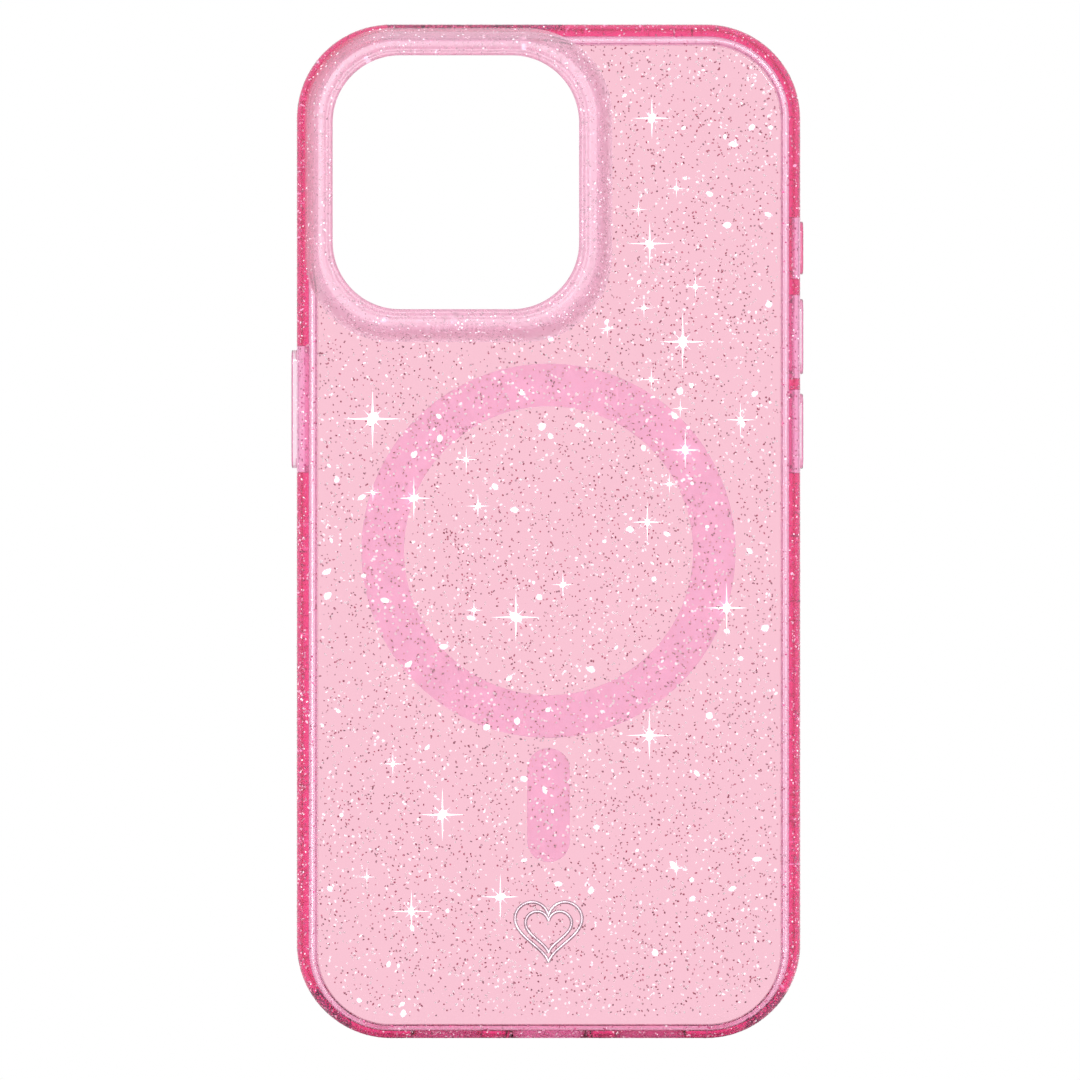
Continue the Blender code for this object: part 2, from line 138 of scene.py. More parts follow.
# Openings through the bottom wall: name, middle in X, width and depth
BOTTOM_OPENINGS = (
    ("port_opening", 0, 13 * MM, 6.4 * MM),
    ("sound_slot_left", -15.2 * MM, 10.5 * MM, 2.8 * MM),
    ("sound_slot_right", 15.2 * MM, 10.5 * MM, 2.8 * MM),
)

# ---------------------------------------------------------------- outlines and solids


def arc(centre, radius, start, end, steps):
    """Points on an arc; angles in degrees."""
    angles = np.radians(np.linspace(start, end, steps + 1))
    return [(centre[0] + radius * math.cos(a), centre[1] + radius * math.sin(a)) for a in angles]


def rounded_rectangle(low, high, radius, steps=CORNER_STEPS):
    """A rounded rectangle between two (x, z) corners, anticlockwise from its right side."""
    middle = ((low[0] + high[0]) / 2, (low[1] + high[1]) / 2)
    half = ((high[0] - low[0]) / 2 - radius, (high[1] - low[1]) / 2 - radius)
    points = []
    for corner, (side_x, side_z) in enumerate(((1, 1), (-1, 1), (-1, -1), (1, -1))):
        centre = (middle[0] + side_x * half[0], middle[1] + side_z * half[1])
        points += arc(centre, radius, 90 * corner, 90 * corner + 90, steps)
    return points


def case_outline(inset):
    """The case's outline, moved inwards by inset."""
    return rounded_rectangle(
        (case_low.x + inset, case_low.z + BOTTOM_SHARE * inset),
        (case_high.x - RIGHT_SHARE * inset, case_high.z - inset),
        CORNER_RADIUS - inset,
    )


def camera_outline(grow):
    """The camera opening's outline, widened by grow."""
    return rounded_rectangle(
        (camera_low[0] - grow, camera_low[2] - grow),
        (camera_high[0] + grow, camera_high[2] + grow),
        CAMERA_RADIUS + grow,
    )


def guard_outline(inset):
    """The guard's outer outline, moved inwards by inset."""
    return rounded_rectangle(
        (guard_low.x + inset, guard_low.z + inset),
        (guard_high.x - inset, guard_high.z + GUARD_OVER_TOP - inset),
        GUARD_RADIUS - inset,
    )


# Just under half the width, so that no two points of a pill's round ends meet
PILL_ROUNDING = 0.49


def pill(width, length, steps=CORNER_STEPS // 2):
    """An upright round-ended outline about its centre, with a rounded rectangle's points."""
    corner = (width / 2, length / 2)
    return rounded_rectangle((-width / 2, -length / 2), corner, PILL_ROUNDING * width, steps)


def circle(radius, centre, steps=128):
    """A circle's points."""
    return arc(centre, radius, 0, 360, steps)[:-1]


def at_depth(outline, y):
    """An outline of x and z points placed at a depth."""
    return [(x, y, z) for x, z in outline]


def add_object(name, data):
    """An object in the scene that shows the data."""
    made = bpy.data.objects.new(name, data)
    bpy.context.scene.collection.objects.link(made)
    return made


def new_object(name, work):
    """A mesh object made from the bmesh, with its faces pointing out."""
    bmesh.ops.recalc_face_normals(work, faces=work.faces)
    mesh = bpy.data.meshes.new(name)
    work.to_mesh(mesh)
    work.free()
    return add_object(name, mesh)


def add_walls(work, rings, wrap=False):
    """Joins each closed ring of points to the next with faces, and returns the rings' vertices."""
    made = [[work.verts.new(point) for point in ring] for ring in rings]
    pairs = list(zip(made, made[1:]))
    if wrap:
        pairs.append((made[-1], made[0]))
    for ring, following in pairs:
        for index, vertex in enumerate(ring):
            after = (index + 1) % len(ring)
            work.faces.new((vertex, ring[after], following[after], following[index]))
    return made


def fill_between(work, loops):
    """Fills the flat area bounded by the outermost loop and not inside the others."""
    edges = []
    for loop in loops:
        for index, vertex in enumerate(loop):
            edges.append(work.edges.get((vertex, loop[(index + 1) % len(loop)])))
    bmesh.ops.triangle_fill(work, use_beauty=True, use_dissolve=False, edges=edges)


def solid(name, outer, holes=()):
    """A solid whose outside and holes are stacks of rings from one end to the other."""
    work = bmesh.new()
    stacks = [add_walls(work, rings) for rings in (outer, *holes)]
    fill_between(work, [stack[0] for stack in stacks])
    fill_between(work, [stack[-1] for stack in stacks])
    return new_object(name, work)


def apply_modifiers(piece):
    """Replaces the piece's mesh by what its modifiers make of it."""
    bpy.context.view_layer.update()
    graph = bpy.context.evaluated_depsgraph_get()
    mesh = bpy.data.meshes.new_from_object(piece.evaluated_get(graph))
    piece.modifiers.clear()
    piece.data = mesh


def cut_away(piece, cutters):
    """Cuts each cutter out of the piece, and removes the cutters."""
    for cutter in cutters:
        boolean = piece.modifiers.new(cutter.name, "BOOLEAN")
        boolean.operation = "DIFFERENCE"
        boolean.solver = "MANIFOLD"
        boolean.object = cutter
    apply_modifiers(piece)
    for cutter in cutters:
        bpy.data.objects.remove(cutter, do_unlink=True)


def finish_piece(piece, material, body=BODY, nodes=(), sharp=40):
    """Shades the piece, gives it its material, ties it to its CAD body and hides the CAD nodes it
    replaces.
    """
    piece.data.materials.clear()
    piece.data.materials.append(material)
    piece.data.shade_smooth()
    piece.data.set_sharp_from_angle(angle=math.radians(sharp))
    weighted = piece.modifiers.new("normals", "WEIGHTED_NORMAL")
    weighted.mode = "FACE_AREA"
    weighted.keep_sharp = True
    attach(piece, body)
    if nodes:
        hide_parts(*nodes)


# ---------------------------------------------------------------- materials

# Share of red, green and blue light that passes through the plate
PLATE_PASS = (0.965, 0.555, 0.665)
PLATE_DEPTH = 2.2 * MM
GUARD_PASS = (0.94, 0.82, 0.90)
GUARD_DEPTH = 2.5 * MM
# The bumper is seen edge on, through its whole depth
BUMPER_PASS = (0.985, 0.046, 0.250)
BUMPER_DEPTH = 11.7 * MM
BUTTON_PASS = (0.975, 0.74, 0.85)
BUTTON_DEPTH = 3.4 * MM
HOT_PASS = (0.95, 0.30, 0.50)


def absorption(share, depth):
    """Colour and density of a Volume Absorption that passes the share of light over the depth."""
    loss = [-math.log(value) / depth for value in share]
    density = max(loss) * 1.05
    return [1 - value / density for value in loss], density


def add_noise(tree, scale, detail=4.0):
    """Fine noise in the piece's own coordinates, as its Fac output."""
    place = tree.nodes.new("ShaderNodeTexCoord")
    noise = tree.nodes.new("ShaderNodeTexNoise")
    noise.inputs["Scale"].default_value = scale
    noise.inputs["Detail"].default_value = detail
    tree.links.new(place.outputs["Object"], noise.inputs["Vector"])
    return noise.outputs["Fac"]


def add_range(tree, source, low, high, start=0.0, end=1.0):
    """Maps a value to the range low to high as it goes from start to end."""
    ranged = tree.nodes.new("ShaderNodeMapRange")
    ranged.inputs["From Min"].default_value = start
    ranged.inputs["From Max"].default_value = end
    ranged.inputs["To Min"].default_value = low
    ranged.inputs["To Max"].default_value = high
    tree.links.new(source, ranged.inputs["Value"])
    return ranged.outputs["Result"]


def add_between(tree, source, start, end):
    """A value that goes from 0 where the source is at start to 1 where it is at end."""
    return add_range(tree, source, 0.0, 1.0, start, end)


def add_bump(tree, source, strength, distance):
    """A bump from a height, linked to the shader."""
    bump = tree.nodes.new("ShaderNodeBump")
    bump.inputs["Strength"].default_value = strength
    bump.inputs["Distance"].default_value = distance
    tree.links.new(source, bump.inputs["Height"])
    tree.links.new(bump.outputs["Normal"], tree.nodes["Principled BSDF"].inputs["Normal"])


def add_two_tone(tree, source, first, second):
    """Two colours mixed by a value, linked to the shader's base colour."""
    ramp = tree.nodes.new("ShaderNodeValToRGB")
    ramp.color_ramp.elements[0].position = 0.3
    ramp.color_ramp.elements[1].position = 0.7
    ramp.color_ramp.elements[0].color = (*first, 1)
    ramp.color_ramp.elements[1].color = (*second, 1)
    tree.links.new(source, ramp.inputs["Fac"])
    tree.links.new(ramp.outputs["Color"], tree.nodes["Principled BSDF"].inputs["Base Color"])


def new_material(name):
    """A Principled material, its node tree and its shader."""
    material = bpy.data.materials.new(name)
    material.use_nodes = True
    tree = material.node_tree
    return material, tree, tree.nodes["Principled BSDF"]


def clear_plastic(name, share, depth, roughness, wave, clear=1.0, milk=(1.0, 1.0, 1.0), glow=0.0):
    """Polished plastic, coloured by how far light travels in it, with faint moulding waves.

    clear is the share of it that lets light through; the rest is milky, and glow is
    painted light, a pink emission that brightens the milk.
    """
    material, tree, shader = new_material(name)
    shader.inputs["Transmission Weight"].default_value = clear
    # Painted light: a pink emission of strength glow brightens the plastic
    shader.inputs["Emission Color"].default_value = (1.0, 0.52, 0.72, 1)
    shader.inputs["Emission Strength"].default_value = glow
    shader.inputs["IOR"].default_value = 1.49
    paler = tuple(0.985 * value for value in milk)
    add_two_tone(tree, add_noise(tree, 90), paler, milk)
    smear = add_noise(tree, 260, detail=6.0)
    tree.links.new(add_range(tree, smear, *roughness), shader.inputs["Roughness"])
    add_bump(tree, add_noise(tree, 420, detail=3.0), wave, 0.02 * MM)
    colour, density = absorption(share, depth)
    volume = tree.nodes.new("ShaderNodeVolumeAbsorption")
    volume.inputs["Color"].default_value = (*colour, 1)
    volume.inputs["Density"].default_value = density
    tree.links.new(volume.outputs["Volume"], tree.nodes["Material Output"].inputs["Volume"])
    return material


def add_math(tree, operation, first, second):
    """A sum done on two values, of which the second may be a plain number."""
    step = tree.nodes.new("ShaderNodeMath")
    step.operation = operation
    tree.links.new(first, step.inputs[0])
    if isinstance(second, (int, float)):
        step.inputs[1].default_value = second
    else:
        tree.links.new(second, step.inputs[1])
    return step.outputs["Value"]


def add_outwards(tree):
    """Distance out from the case's middle: CORNER_RADIUS on its outer wall, less inside it."""
    place = tree.nodes.new("ShaderNodeTexCoord").outputs["Object"]
    for operation, value in (
        ("SUBTRACT", (0, 0, MIDDLE_Z)),
        ("ABSOLUTE", None),
        ("SUBTRACT", (CORNER_X, CORNER_RADIUS, CORNER_Z)),
        ("MAXIMUM", (0, 0, 0)),
    ):
        step = tree.nodes.new("ShaderNodeVectorMath")
        step.operation = operation
        tree.links.new(place, step.inputs[0])
        if value is not None:
            step.inputs[1].default_value = value
        place = step.outputs["Vector"]
    length = tree.nodes.new("ShaderNodeVectorMath")
    length.operation = "LENGTH"
    tree.links.new(place, length.inputs[0])
    return length.outputs["Value"]


def add_near_wall(tree, start, end):
    """A value that goes from 0 to 1 between two distances in from the case's outer wall."""
    return add_between(tree, add_outwards(tree), CORNER_RADIUS - start, CORNER_RADIUS - end)


def add_axis(tree, axis):
    """One coordinate of the place on the piece."""
    parts = tree.nodes.new("ShaderNodeSeparateXYZ")
    place = tree.nodes.new("ShaderNodeTexCoord").outputs["Object"]
    tree.links.new(place, parts.inputs["Vector"])
    return parts.outputs[axis]


def add_painted_shade(tree, share, shade_colour):
    """Mixes a deeper colour, painted shade, into the shader's base colour by a value."""
    shader = tree.nodes["Principled BSDF"]
    mixed = tree.nodes.new("ShaderNodeMixRGB")
    mixed.inputs["Color2"].default_value = (*shade_colour, 1)
    plain = shader.inputs["Base Color"].links[0].from_socket
    tree.links.new(share, mixed.inputs["Fac"])
    tree.links.new(plain, mixed.inputs["Color1"])
    tree.links.new(mixed.outputs["Color"], shader.inputs["Base Color"])


def paint_guard_shade(material, shade_colour):
    """Paints shade into the guard: deeper pink towards the case's left side, where light crosses
    the wall.
    """
    tree = material.node_tree
    near_side = add_near_wall(tree, 3.4 * MM, 0.9 * MM)
    to_left = add_between(tree, add_axis(tree, "X"), -24 * MM, -31 * MM)
    add_painted_shade(tree, add_math(tree, "MULTIPLY", near_side, to_left), shade_colour)


def paint_bumper_shade(material, edge, low_edge_shade, opening_shade):
    """Paints shade into the bumper: deeper colour at its outer edge, more so low down, and round
    its bottom openings.
    """
    tree = material.node_tree
    # Painted shade: a darker rim at the outer edge
    add_painted_shade(tree, add_near_wall(tree, 0.60 * MM, 0.15 * MM), edge)
    # Painted shade: deeper pink in from the wall, more so low down
    wall = add_near_wall(tree, 2.0 * MM, 1.3 * MM)
    lowness = add_between(tree, add_axis(tree, "Z"), 0.75 * HEIGHT, 0)
    add_painted_shade(tree, add_math(tree, "MULTIPLY", wall, lowness), low_edge_shade)
    # Painted shade: deeper pink round the bottom openings
    at_bottom = add_between(tree, add_axis(tree, "Z"), 2.4 * MM, 1.8 * MM)
    off_middle = add_math(tree, "SUBTRACT", add_axis(tree, "Y"), PHONE_MIDDLE_Y)
    off_middle = add_math(tree, "ABSOLUTE", off_middle, 0.0)
    in_middle = add_between(tree, off_middle, 4.5 * MM, 4.0 * MM)
    add_painted_shade(tree, add_math(tree, "MULTIPLY", at_bottom, in_middle), opening_shade)


def printed_film(name, first, second, roughness, glow=0.0):
    """A printed film with a fine fibre grain; glow is painted light, an emission that brightens it.
    """
    material, tree, shader = new_material(name)
    shader.inputs["Emission Color"].default_value = (*second, 1)
    shader.inputs["Emission Strength"].default_value = glow
    add_two_tone(tree, add_noise(tree, 900, detail=8.0), first, second)
    grain = add_noise(tree, 3000, detail=4.0)
    tree.links.new(add_range(tree, grain, *roughness), shader.inputs["Roughness"])
    add_bump(tree, grain, 0.3, 0.01 * MM)
    return material


def metal(name, first, second, roughness):
    """Plated metal with a brushed, slightly uneven shine."""
    material, tree, shader = new_material(name)
    shader.inputs["Metallic"].default_value = 1.0
    add_two_tone(tree, add_noise(tree, 700), first, second)
    scratch = add_noise(tree, 2400, detail=8.0)
    tree.links.new(add_range(tree, scratch, *roughness), shader.inputs["Roughness"])
    add_bump(tree, scratch, 0.15, 0.01 * MM)
    return material


def glitter(name, first, second, metallic, glow):
    """Foil flakes whose colour varies from flake to flake; glow is painted sparkle, an emission
    that lights them.
    """
    material, tree, shader = new_material(name)
    shader.inputs["Metallic"].default_value = metallic
    shader.inputs["Emission Color"].default_value = (1.0, 0.97, 0.98, 1)
    shader.inputs["Emission Strength"].default_value = glow
    tone = add_noise(tree, 700, detail=1.0)
    add_two_tone(tree, tone, first, second)
    tree.links.new(add_range(tree, tone, 0.15, 0.45), shader.inputs["Roughness"])
    return material


plate_plastic = clear_plastic("clear_pink_plate", PLATE_PASS, PLATE_DEPTH, (0.0, 0.05), 0.15)
bumper_plastic = clear_plastic(
    "clear_pink_bumper", BUMPER_PASS, BUMPER_DEPTH, (0.08, 0.14), 0.10,
    clear=0.97, milk=(1.0, 0.93, 0.945),
)
# The guard's glow is painted light, a faint pink emission that brightens it
guard_plastic = clear_plastic(
    "frosted_pink_guard", GUARD_PASS, GUARD_DEPTH, (0.22, 0.32), 0.05,
    clear=0.74, milk=(0.98, 0.765, 0.865), glow=0.035,
)
# Painted shade: the guard deepens towards the left, the bumper at its edges, low down and round its
# openings
paint_guard_shade(guard_plastic, (0.86, 0.26, 0.42))
paint_bumper_shade(bumper_plastic, (0.86, 0.62, 0.76), (1.0, 0.80, 0.90), (0.98, 0.28, 0.55))
pale_plastic = clear_plastic("clear_pale_button", BUTTON_PASS, BUTTON_DEPTH, (0.03, 0.10), 0.25)
hot_plastic = clear_plastic("clear_hot_button", HOT_PASS, BUTTON_DEPTH, (0.03, 0.10), 0.25)
# The lilac film's glow paints light into it
lilac_film = printed_film(
    "lilac_pink_film", (0.98, 0.54, 0.745), (1.0, 0.58, 0.795), (0.45, 0.65), glow=0.20
)
cover_film = printed_film("white_cover_film", (0.80, 0.74, 0.77), (0.90, 0.86, 0.88), (0.45, 0.65))
nickel = metal("nickel_plate", (0.56, 0.55, 0.53), (0.68, 0.67, 0.65), (0.18, 0.34))
emblem_foil = metal("silver_foil", (0.34, 0.25, 0.29), (0.60, 0.47, 0.53), (0.22, 0.38))
# The last number of each is its glow, painted light: an emission that makes the flakes sparkle,
# faint on the rose and blush flakes and strong on the white, pale and star flakes, whose glow
# paints glints
dark_glitter = glitter("mauve_glitter", (0.50, 0.29, 0.37), (0.70, 0.45, 0.54), 0.3, 0.0)
white_glitter_painted_sparkle = glitter("white_glitter_painted_sparkle", (0.85, 0.62, 0.74), (1.0, 0.98, 0.99), 0.0, 0.62)
rose_glitter = glitter("rose_glitter", (0.70, 0.41, 0.51), (0.85, 0.56, 0.66), 0.2, 0.05)
pale_glitter_painted_glow = glitter("pale_glitter_painted_glow", (0.93, 0.66, 0.76), (0.98, 0.80, 0.87), 0.0, 0.25)
blush_glitter = glitter("blush_glitter", (0.96, 0.30, 0.52), (1.0, 0.58, 0.74), 0.0, 0.06)
ruby_glitter = glitter("ruby_glitter", (0.52, 0.02, 0.16), (0.90, 0.14, 0.40), 0.2, 0.0)
maroon_glitter = glitter("maroon_glitter", (0.07, 0.02, 0.04), (0.34, 0.07, 0.17), 0.3, 0.0)
painted_glint_foil = glitter("painted_glint_foil", (1.0, 0.97, 0.98), (1.0, 1.0, 1.0), 0.0, 1.2)

# ---------------------------------------------------------------- bumper


def bumper_section():
    """The bumper's closed section as (inward, y) points, starting on the shoulder's inner tip."""
    tip = 0.15 * MM
    edge = 0.5 * MM
    nook = 0.3 * MM
    points = [
        (SHOULDER_REACH, BACK_Y + SHOULDER_SEAM_DEPTH),
        (SHOULDER_REACH - SHOULDER_CHAMFER, BACK_Y + 0.02 * MM),
        (SHOULDER_REACH - SHOULDER_CHAMFER - 0.03 * MM, BACK_Y),
    ]
    points += arc((SHOULDER_ROUND, BACK_Y + SHOULDER_ROUND), SHOULDER_ROUND, 270, 180, 18)
    points += arc((LIP_ROUND, LIP_Y - LIP_ROUND), LIP_ROUND, 180, 90, 12)
    points += arc((LIP_REACH - edge, LIP_Y - edge), edge, 90, 0, 6)
    points += arc((LIP_REACH - tip, LIP_UNDER_Y + tip), tip, 0, -90, 4)
    points += arc((WALL + nook, LIP_UNDER_Y - nook), nook, 90, 180, 4)
    points += arc((WALL + nook, SHOULDER_UNDER_Y + nook), nook, 180, 270, 4)
    points += arc((SHOULDER_REACH - tip / 2, SHOULDER_UNDER_Y - tip / 2), tip / 2, 90, 0, 3)
    return points


def flared_cutter(name, outline_at, depths, flare, turn):
    """A cutter through a wall whose mouth flares out in a quarter round at the outer face.

    depths are its inner end, the outer face and its outer end. outline_at gives the outline
    for a clearance, and turn takes (x, travel, z) to the row frame.
    """
    inner, face, outer = depths
    side = math.copysign(1, face - inner)
    rings = [(0, inner)]
    for step in range(9):
        angle = math.radians(90 * step / 8)
        rings.append((flare * (1 - math.cos(angle)), face - side * flare * (1 - math.sin(angle))))
    rings.append((flare, outer))
    placed = []
    for clearance, travel in rings:
        placed.append([turn @ Vector((x, travel, z)) for x, z in outline_at(clearance)])
    return solid(name, placed)


def button_frame(name):
    """The side and CAD box of a button, and the turn from its own axes to the row frame at its
    middle.
    """
    low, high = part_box(name)
    side = 1 if high.x > 0 else -1
    middle = Vector((side * WIDTH / 2, (low.y + high.y) / 2, (low.z + high.z) / 2))
    turn = Matrix.Translation(middle) @ Matrix.Rotation(math.radians(90), 4, "Z")
    return side, low, high, turn


def button_cutters(name):
    """The slot and the pocket behind it for one button."""
    side, low, high, turn = button_frame(name)
    length = high.z - low.z - 2 * FLANGE_MARGIN
    # In the button's own axes the travel runs along -X of the row frame
    out = -side
    width = BUTTON_WIDTH + SLOT_WIDENING
    slot = flared_cutter(
        name + "_slot",
        lambda grow: pill(width + 2 * grow, length + SLOT_WIDENING + 2 * grow),
        (-out * (WALL + MM), 0, out * MM),
        0.35 * MM,
        turn,
    )
    half = (BUTTON_WIDTH / 2 + POCKET_MARGIN, length / 2 + POCKET_MARGIN)
    outline = rounded_rectangle((-half[0], -half[1]), half, 0.12 * MM, steps=3)
    rings = []
    for travel in (-out * 1.0 * MM, -out * (WALL + MM)):
        rings.append([turn @ Vector((x, travel, z)) for x, z in outline])
    return [slot, solid(name + "_pocket", rings)]


def bottom_cutters():
    """The charging port's opening and the sound slots."""
    cutters = []
    for name, middle, width, depth in BOTTOM_OPENINGS:
        place = Matrix.Translation((middle, PHONE_MIDDLE_Y, 0))
        turn = place @ Matrix(((0, 0, 1), (1, 0, 0), (0, 1, 0))).to_4x4()
        cutters.append(
            flared_cutter(
                name,
                lambda grow, w=width, d=depth: pill(d + 2 * grow, w + 2 * grow),
                (WALL + 2 * MM, 0, -MM),
                0.5 * MM,
                turn,
            )
        )
    return cutters


def make_bumper():
    """The soft frame: its section carried round the case's outline, with its cut-outs."""
    work = bmesh.new()
    rings = [at_depth(case_outline(inward), y) for inward, y in bumper_section()]
    add_walls(work, rings, wrap=True)
    bumper = new_object("bumper", work)
    cutters = bottom_cutters()
    for name in BUTTON_BODIES:
        cutters += button_cutters(name)
    cut_away(bumper, cutters)
    finish_piece(bumper, bumper_plastic, nodes=["bumper_frame"])


# ---------------------------------------------------------------- back plate


def make_plate():
    """The hard back with its chamfered edge and tongue, the camera opening and the recesses."""
    outer = [
        at_depth(case_outline(PLATE_INSET + PLATE_CHAMFER + 0.03 * MM), BACK_Y),
        at_depth(case_outline(PLATE_INSET + PLATE_CHAMFER), BACK_Y + 0.02 * MM),
        at_depth(case_outline(PLATE_INSET), BACK_Y + PLATE_SEAM_DEPTH),
        at_depth(case_outline(PLATE_INSET), TONGUE_BACK_Y),
        at_depth(case_outline(TONGUE_INSET), TONGUE_BACK_Y),
        at_depth(case_outline(TONGUE_INSET), INNER_Y),
    ]
    hole = [at_depth(camera_outline(0.1 * MM), y) for y in (BACK_Y, INNER_Y)]
    plate = solid("plate", outer, [hole])
    over = INNER_Y + MM
    ring_outer = circle(RING_OUTER + RECESS_CLEARANCE, (0, RING_Z))
    ring_inner = circle(RING_INNER - RECESS_CLEARANCE, (0, RING_Z))
    recess = solid(
        "ring_recess",
        [at_depth(ring_outer, RECESS_FLOOR_Y), at_depth(ring_outer, over)],
        [[at_depth(ring_inner, RECESS_FLOOR_Y), at_depth(ring_inner, over)]],
    )
    bar = bar_outline(RECESS_CLEARANCE)
    bar_recess = solid("bar_recess", [at_depth(bar, RECESS_FLOOR_Y), at_depth(bar, over)])
    cut_away(plate, [recess, bar_recess])
    finish_piece(plate, plate_plastic, nodes=["back_plate"])


def bar_outline(grow):
    """The alignment bar's outline, widened by grow."""
    middle_z = (bar_low.z + bar_high.z) / 2
    points = pill(bar_high.x - bar_low.x + 2 * grow, bar_high.z - bar_low.z + 2 * grow)
    return [(x, z + middle_z) for x, z in points]


def make_films():
    """The printed films behind the plate and the covers on the phone's side."""
    ring = circle(RING_OUTER, (0, RING_Z))
    ring_hole = circle(RING_INNER, (0, RING_Z))
    bar = bar_outline(0)
    outer_film = (lilac_film, "lilac_film", film_low.y, film_high.y)
    inner_cover = (cover_film, "cover_film", cover_low.y, cover_high.y)
    for name, node, outline, holes, (material, slot, low_y, high_y) in (
        ("ring_film", "ring_outer_film", ring, [ring_hole], outer_film),
        ("ring_cover", "ring_inner_cover", ring, [ring_hole], inner_cover),
        ("bar_film", "bar_outer_film", bar, [], outer_film),
        ("bar_cover", "bar_inner_cover", bar, [], inner_cover),
    ):
        ends = [at_depth(outline, low_y), at_depth(outline, high_y)]
        piece = solid(name, ends, [[at_depth(h, low_y), at_depth(h, high_y)] for h in holes])
        finish_piece(piece, material, nodes=[node])


# ---------------------------------------------------------------- camera guard


def inward_reach(x, z):
    """How far a point lies inside the case's outline."""
    over_x = abs(x) - CORNER_X
    over_z = abs(z - MIDDLE_Z) - CORNER_Z
    outside = math.hypot(max(over_x, 0), max(over_z, 0))
    return CORNER_RADIUS - outside - min(max(over_x, over_z), 0)


def back_surface(x, z):
    """The depth of the case's back at a point: flat, then rolling over the shoulder."""
    reach = inward_reach(x, z)
    if reach >= SHOULDER_ROUND:
        return BACK_Y
    drop = math.sqrt(max(SHOULDER_ROUND**2 - (SHOULDER_ROUND - reach) ** 2, 0))
    return BACK_Y + SHOULDER_ROUND - drop


def blend_outlines(first, second, share):
    """Points part of the way from one outline to another."""
    return [
        (a[0] + (b[0] - a[0]) * share, a[1] + (b[1] - a[1]) * share)
        for a, b in zip(first, second)
    ]


# Height of the guard's top across its width, as shares from its outer edge to the opening and
# of its full rise; a shallow groove runs round it near the opening
GUARD_CREST = (
    (0.52, 0.99), (0.58, 1.0), (0.66, 1.0), (0.73, 0.985), (0.785, 0.945),
    (0.84, 0.985), (0.88, 1.0), (0.92, 1.0), (0.965, 0.97), (0.99, 0.92),
)
# Share of its width over which the guard climbs from its outer edge
GUARD_SLOPE_SHARE = 0.48
GUARD_SLOPE_STEPS = 14
GUARD_SEAT = 0.03 * MM


def make_guard():
    """The raised frame round the camera opening, seated on the plate and rolled over the shoulder.

    Returns the rings of its outer face, from its outer edge to its crest.
    """
    outer = guard_outline(0)
    wall = camera_outline(0)
    rise = BACK_Y - guard_low.y
    rings = []
    for share in (1.0, 0.6, 0.3, 0.1, 0.0):
        outline = blend_outlines(outer, wall, share)
        rings.append([(x, back_surface(x, z) - GUARD_SEAT, z) for x, z in outline])
    for step in range(1, GUARD_SLOPE_STEPS + 1):
        part = step / GUARD_SLOPE_STEPS
        outline = blend_outlines(outer, wall, GUARD_SLOPE_SHARE * part)
        climbed = GUARD_CREST[0][1] * (1 - math.cos(math.pi * part)) / 2
        ring = []
        for x, z in outline:
            foot = back_surface(x, z) - GUARD_SEAT
            ring.append((x, foot + (guard_low.y - foot) * climbed, z))
        rings.append(ring)
    for share, height in GUARD_CREST:
        outline = blend_outlines(outer, wall, share)
        rings.append(at_depth(outline, BACK_Y - rise * height))
    rings.append(at_depth(wall, BACK_Y - rise * 0.80))
    work = bmesh.new()
    add_walls(work, rings, wrap=True)
    guard = new_object("guard", work)
    finish_piece(guard, guard_plastic, nodes=["camera_guard"], sharp=60)
    return rings[4:-3]


# ---------------------------------------------------------------- buttons


def make_button(name):
    """A crowned, round-ended cap on a flange, standing out of the wall."""
    side, low, high, turn = button_frame(name)
    out = -side
    length = high.z - low.z - 2 * FLANGE_MARGIN
    proud = (high.x if side > 0 else -low.x) - WIDTH / 2
    inner = (high.x - low.x) - proud
    half = ((high.y - low.y) / 2 - FLANGE_TRIM, (high.z - low.z) / 2 - FLANGE_TRIM)
    steps = CORNER_STEPS // 2
    flange_outline = rounded_rectangle((-half[0], -half[1]), half, 0.12 * MM, steps=steps)
    # The flange's outline starts at the upper right corner and so does the cap's, so they match
    sections = [
        (flange_outline, -inner),
        (flange_outline, -inner + FLANGE_THICKNESS),
        (pill(BUTTON_WIDTH, length), -inner + FLANGE_THICKNESS),
    ]
    for step in range(7):
        angle = math.radians(90 * step / 6)
        inset = CAP_RIM * (1 - math.cos(angle))
        outline = pill(BUTTON_WIDTH - 2 * inset, length - 2 * inset)
        sections.append((outline, proud - CAP_CROWN_DROP - CAP_RIM * (1 - math.sin(angle))))
    for inset, drop in CAP_CROWN:
        outline = pill(BUTTON_WIDTH - 2 * inset, length - 2 * inset)
        sections.append((outline, proud - drop))
    rings = []
    for outline, travel in sections:
        rings.append([turn @ Vector((x, out * travel, z)) for x, z in outline])
    cap = solid(name + "_cap", rings)
    material = hot_plastic if name == "action_button" else pale_plastic
    finish_piece(cap, material, body=BUTTON_BODIES[name], nodes=[name])


# ---------------------------------------------------------------- emblem


def heart_point(angle):
    """A point of the heart curve, one unit wide, about the middle of its height."""
    x = 16 * math.sin(angle) ** 3
    z = 13 * math.cos(angle) - 5 * math.cos(2 * angle) - 2 * math.cos(3 * angle)
    return Vector((x, z - math.cos(4 * angle) + 2.5)) / 32


# Lines of the heart: name, width as a share of the emblem's, and the CAD node it replaces
HEART_LINES = (("heart_line_outer", 0.96, ["heart_emblem"]), ("heart_line_inner", 0.66, []))
HEART_LINE_HALF_WIDTH = 0.26 * MM
HEART_LINE_HALF_HEIGHT = 0.18 * MM
HEART_STEPS = 120
HEART_LINE_SIDES = 12


